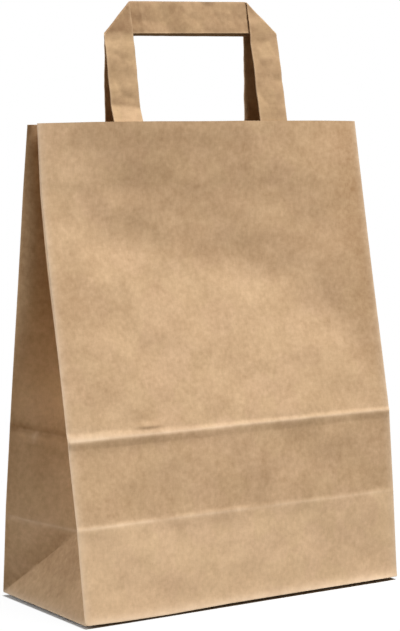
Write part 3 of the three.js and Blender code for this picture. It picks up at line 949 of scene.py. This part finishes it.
# handles: flat folded tape, turned over at 45 degrees at its two top corners
frontLow, frontHigh = boxOf("front_handle")
rearLow, rearHigh = boxOf("rear_handle")
handleSettings = {
    "tape": {
        "width": 19.0,
        "thickness": 0.7,
        "foldGap": 1.2,
        "glue": 0.2,
        "root": 38.0,
        "rows": 20,              # quads across the tape
        "crumple": ({"spacing": 14, "slope": 0.10}, {"spacing": 6, "slope": 0.055}),
        "blotch": {"count": 14, "lengths": (7, 26), "height": 0.06, "creased": True},
        "bendTop": 45.0,         # height where the left leg's bend has run out
        "crumpleFrom": (6, 6),   # height where the crumpling starts, and reach
        "gluedFrom": (1.5, 4),   # height where the legs come to lie on the panel, and reach
        "wearAndHighlight": (0.5, 0.7),      # pale rubbed fibres on the edges, partly a painted highlight: amount, and reach
        "cornerPaintedShade": (7.5, 0.07, 1.2),   # end of the painted dark corner past the fold, slant, and reach
        "legEdge": 4.0,          # reach of the other painted tones' edges
        "rightEdge": 3.0,
        "footEdge": 1.5,
        "bendEdge": (0.8, 7.0),
    },
    "front": {
        "panel": "front",
        "centre": (frontLow[0] + frontHigh[0]) / 2,
        "span": frontHigh[0] - frontLow[0],
        "height": 72.0,
        "lean": 11.5,        # degrees, backwards
        "sway": 0.0,         # mm to the right at the top
        "tilt": 0.65,        # mm that the bar's right end is higher
        "kink": (9.0, 0.2, 1.8),    # the left leg's bend: height at the inner edge, slope, depth
        "seeds": (61, 62, 65),      # of the two crumples, and of the blotches
        # painted light and shade: darker bar, corner and bend, paler legs and foot
        "paintedShadesAndTones": {"bar": -0.11, "corner": -0.32, "rightLeg": 0.05,
                  "leftLeg": 0.13, "foot": 0.34, "bend": -0.16},
    },
    "rear": {
        "panel": "back",
        "centre": (rearLow[0] + rearHigh[0]) / 2 + 0.6,
        "span": 116.2,
        "height": 69.8,
        "lean": 4.4,
        "sway": 3.2,
        "tilt": 0.3,
        "kink": (9.5, 0.0, 0.0),
        "seeds": (63, 64, 66),
        # the rear handle is painted darker all over, standing in for its shade
        "paintedShadesAndTones": {"bar": -0.2, "corner": -0.2, "rightLeg": -0.2,
                  "leftLeg": -0.2, "foot": -0.2, "bend": 0.0},
    },
}


def tapeFold(handle):
    tape = handleSettings["tape"]
    width = tape["width"]
    radius = tape["foldGap"] / 2
    half = handle["span"] / 2
    top = handle["height"]
    facing = facings[handle["panel"]]
    lean = math.radians(handle["lean"])
    inset = bagShape["paper"] / 2 + tape["glue"] + tape["thickness"] / 2
    legX = half - width / 2
    length = half + top - width + tape["root"]

    def mouthPoint(x):
        share = panelShare(handle["centre"] + x)
        return onPanel(handle["panel"], share, np.full_like(share, sheetHeight))

    # the line between the two legs' places at the mouth carries the handle
    legs = mouthPoint(np.array((-legX, legX)))

    def fold(along, across):
        side = np.sign(along) + (along == 0)
        x = np.abs(along)
        h = top - width / 2 + across
        # distance past the 45 degree fold line, then the turn over it
        past = (x + h - (half + top - width)) / math.sqrt(2)
        lineX = x - past / math.sqrt(2)
        lineH = h - past / math.sqrt(2)
        quarter = math.pi * radius / 2
        angle = np.clip((past + quarter) / radius, 0, math.pi)
        flat = np.where(np.abs(past) > quarter, -np.abs(past), radius * np.sin(angle) - quarter)
        x = side * (lineX + flat / math.sqrt(2))
        h = lineH + flat / math.sqrt(2)
        behind = radius * (1 + np.cos(angle))
        # the left leg is bent back just above the mouth, along a slanting crease
        kinkHeight, kinkSlope, kinkDepth = handle["kink"]
        crease = kinkHeight + kinkSlope * np.clip(-x - half + width, 0, width / 2)
        bent = np.where(h < crease, h / crease, (tape["bendTop"] - h) / (tape["bendTop"] - crease))
        bent = kinkDepth * np.clip(bent, 0, 1) * (x < 0)
        creased = 0
        for layer, seed in zip(tape["crumple"], handle["seeds"]):
            creased = creased + crumple(across + width, along + length, layer | {"seed": seed})
        crumpleStart, crumpleReach = tape["crumpleFrom"]
        bent = bent + creased * smooth((h - crumpleStart) / crumpleReach)
        h = h + handle["tilt"] * x / half
        x = x + handle["sway"] * np.clip(h / top, 0, 1)
        # above the mouth the tape stands in the handle's plane
        share = (x + legX) / (2 * legX)
        root = legs[0] + (legs[1] - legs[0]) * share[:, None]
        point = np.empty((len(x), 3))
        point[:, 0] = handle["centre"] + x
        point[:, 1] = root[:, 1] - facing * inset + np.sin(lean) * h - facing * np.cos(lean) * behind + bent
        point[:, 2] = root[:, 2] + np.cos(lean) * h
        # inside the bag the legs lie on the panel
        gluedStart, gluedReach = tape["gluedFrom"]
        inside = h < gluedStart
        if inside.any():
            gluedShare = panelShare(handle["centre"] + x[inside])
            glued = onPanel(handle["panel"], gluedShare, sheetHeight + h[inside])
            glued[:, 1] -= facing * inset
            mix = smooth((gluedStart - h[inside]) / gluedReach)[:, None]
            point[inside] = point[inside] * (1 - mix) + glued * mix
        return point

    return fold, length


def tapeWearAndHighlight(along, across):
    # paler tape edges: rubbed fibres and a painted highlight
    amount, reach = handleSettings["tape"]["wearAndHighlight"]
    return amount * np.exp(-(handleSettings["tape"]["width"] / 2 - np.abs(across)) / reach)


def tapePaintedShade(handle):
    tape = handleSettings["tape"]
    width = tape["width"]
    half = handle["span"] / 2
    paintedShadesAndTones = handle["paintedShadesAndTones"]

    def tone(along, across):
        # painted light and shade: the bar and its left end are darker, and the left leg's foot is paler
        # below its bend, with a darker band just above it
        cornerEnd, slant, reach = tape["cornerPaintedShade"]
        fromLine = along + half - width - cornerEnd + slant * across
        beyondLeg = smooth((along + half) / tape["legEdge"] + 0.5)
        corner = smooth(0.5 - fromLine / reach) * beyondLeg
        rightLeg = smooth((along - half + width / 2) / tape["rightEdge"] + 0.5)
        bar = (1 - rightLeg) * smooth(0.5 + fromLine / reach)
        height = handle["height"] + half - width + along
        kinkHeight, kinkSlope, _ = handle["kink"]
        crease = kinkHeight + kinkSlope * np.clip(width / 2 - across, 0, width / 2)
        leg = 1 - beyondLeg
        foot = smooth((crease - height) / tape["footEdge"]) * leg
        bendEdge, bendReach = tape["bendEdge"]
        above = height - crease
        bend = leg * smooth(above / bendEdge) * smooth(1 - above / bendReach)
        total = paintedShadesAndTones["corner"] * corner + paintedShadesAndTones["rightLeg"] * rightLeg + paintedShadesAndTones["bar"] * bar
        total = total + paintedShadesAndTones["bend"] * bend + paintedShadesAndTones["leftLeg"] * (leg - foot) + paintedShadesAndTones["foot"] * foot
        blotch = tape["blotch"] | {"seed": handle["seeds"][-1]}
        return plainTone + total + waves(along, across, blotch)

    return tone


# square quads, split along the turned corners, keep those folds straight
tapeCount = handleSettings["tape"]["rows"]
tapePitch = handleSettings["tape"]["width"] / tapeCount
tapeRows = tapePitch * (np.arange(tapeCount + 1) - tapeCount / 2)
for name in ("front", "rear"):
    fold, length = tapeFold(handleSettings[name])
    halfCount = round(length / tapePitch)
    tapeColumns = tapePitch * np.arange(-halfCount, halfCount + 1)
    looks = {"foldWearAndHighlight": tapeWearAndHighlight, "sheetToneAndShade": tapePaintedShade(handleSettings[name])}
    folded = layGrid(name + "Handle", tapeColumns, tapeRows, fold, looks)
    splitQuads(folded, lambda along, across: along < 0, "FIXED")
    splitQuads(folded, lambda along, across: along > 0, "FIXED_ALTERNATE")
    finishSheet(folded, handleSettings["tape"]["thickness"], "handle_tape", name + "_handle")


# patches: strips glued over the legs, inside the mouth
patchSettings = {
    "height": 40.0,
    "drop": 4.0,         # below the cut edge
    "margin": 16.0,      # past the legs
    "ramp": 3.0,
    "paper": 0.16,
    "stations": (121, 17),   # across and up
}


def patchFold(handle):
    tape = handleSettings["tape"]
    facing = facings[handle["panel"]]
    half = handle["span"] / 2

    def fold(along, up):
        point = onPanel(handle["panel"], panelShare(handle["centre"] + along), up)
        fromLeg = np.abs(np.abs(along) - half + tape["width"] / 2) - tape["width"] / 2
        over = 1 - smooth(fromLeg / patchSettings["ramp"])
        clear = bagShape["paper"] / 2 + tape["glue"] + patchSettings["paper"] / 2
        point[:, 1] -= facing * (clear + over * (tape["thickness"] + tape["glue"]))
        return point

    return fold


def unworn(along, up):
    return np.zeros_like(along)


def even(along, up):
    return np.full_like(along, plainTone)


for name in ("front", "rear"):
    handle = handleSettings[name]
    reach = handle["span"] / 2 + patchSettings["margin"]
    patchTop = sheetHeight - patchSettings["drop"]
    acrossCount, upCount = patchSettings["stations"]
    patchColumns = np.linspace(-reach, reach, acrossCount)
    patchRows = np.linspace(patchTop - patchSettings["height"], patchTop, upCount)
    looks = {"foldWearAndHighlight": unworn, "sheetToneAndShade": even}
    patch = layGrid(name + "Patch", patchColumns, patchRows, patchFold(handle), looks)
    finishSheet(patch, patchSettings["paper"], "patch_paper", name + "_patch")


# studio: white floor that keeps the contact shadow, soft light from above
studio = {
    "floorSize": 12.0,       # m
    "floorSeen": 0.92,       # the floor's own white
    "floorBounce": (0.25, 0.22, 0.18, 1),   # and what it throws back at the bag
    "shadowInset": 0.0012,           # m, the floor's white glow starts this far inside the gussets' foot print, painted light under their edges
    "shadowReach": (0.0, 0.0015),    # m from the bag's foot over which the shadow fades
    "shadowFade": 0.97,
    "whiteReach": (0.05, 0.35),      # m over which the floor turns wholly white
    "key": {"toLight": (0.16, -0.37, 0.915), "distance": 2.8, "size": 1.0, "power": 122.0},
    "fill": {"toLight": (-0.78, 0.52, 0.35), "distance": 2.4, "size": 1.4, "power": 33.0},
    "worldColour": (1.0, 0.82, 0.58, 1),
    "world": 0.028,
    "aim": (0, 0, 0.14),             # m, where the softboxes point
}


def inView(shade):
    # rays from the camera, straight, mirrored or through glass
    rays = ("Is Camera Ray", "Is Glossy Ray", "Is Transmission Ray")
    seen, mirrored, through = (shade.node("ShaderNodeLightPath", out=ray) for ray in rays)
    return seen + mirrored + through


def addFloor():
    bpy.ops.object.select_all(action="DESELECT")
    bpy.ops.mesh.primitive_plane_add(size=studio["floorSize"])
    floor = bpy.context.object
    floor.name = "floor"
    material = bpy.data.materials.new("floorWhite")
    material.use_nodes = True
    tree = material.node_tree
    tree.nodes.remove(tree.nodes["Principled BSDF"])
    shade = Shade(tree)
    place = shade.node("ShaderNodeTexCoord", out="Object")
    # distance from the bag's foot print
    away = shade.node("ShaderNodeVectorMath", {"operation": "ABSOLUTE"}, {0: place})
    away = shade.node("ShaderNodeVectorMath", {"operation": "SUBTRACT"},
                      {0: away, 1: (halfWidth * mm - studio["shadowInset"], halfDepth * mm, 0)})
    away = shade.node("ShaderNodeVectorMath", {"operation": "MAXIMUM"}, {0: away, 1: (0, 0, 0)})
    distance = shade.node("ShaderNodeVectorMath", {"operation": "LENGTH"}, {0: away}, out="Value")
    clear = studio["shadowFade"] * ranged(shade, distance, *studio["shadowReach"])
    clear = clear + (1 - studio["shadowFade"]) * ranged(shade, distance, *studio["whiteReach"])
    shadowed = shade.node("ShaderNodeBsdfDiffuse", {}, {"Color": (studio["floorSeen"],) * 3 + (1,)})
    bare = shade.node("ShaderNodeEmission", {}, {"Color": (1, 1, 1, 1), "Strength": 1.0})
    white = shade.node("ShaderNodeMixShader", {}, {0: clear, 1: shadowed, 2: bare})
    dull = shade.node("ShaderNodeBsdfDiffuse", {}, {"Color": studio["floorBounce"]})
    mixed = shade.node("ShaderNodeMixShader", {}, {0: inView(shade), 1: dull, 2: white})
    tree.links.new(mixed.socket, tree.nodes["Material Output"].inputs["Surface"])
    floor.data.materials.append(material)


def addWorld():
    world = bpy.data.worlds.new("studio")
    bpy.context.scene.world = world
    world.use_nodes = True
    tree = world.node_tree
    tree.nodes.remove(tree.nodes["Background"])
    shade = Shade(tree)
    white = shade.node("ShaderNodeBackground", {}, {"Color": (1, 1, 1, 1), "Strength": 1.0})
    dim = shade.node("ShaderNodeBackground", {},
                     {"Color": studio["worldColour"], "Strength": studio["world"]})
    mixed = shade.node("ShaderNodeMixShader", {}, {0: inView(shade), 1: dim, 2: white})
    tree.links.new(mixed.socket, tree.nodes["World Output"].inputs["Surface"])


def addSoftbox(name):
    box = studio[name]
    lamp = bpy.data.lights.new(name, "AREA")
    lamp.energy = box["power"]
    lamp.size = box["size"]
    light = bpy.data.objects.new(name, lamp)
    bpy.context.scene.collection.objects.link(light)
    towards = Vector(box["toLight"]).normalized()
    turn = towards.to_track_quat("Z", "Y").to_matrix().to_4x4()
    light.matrix_world = Matrix.Translation(Vector(studio["aim"]) + towards * box["distance"]) @ turn


addFloor()
addWorld()
for name in ("key", "fill"):
    addSoftbox(name)
bpy.context.scene.view_settings.view_transform = "Standard"
print("studio lit")
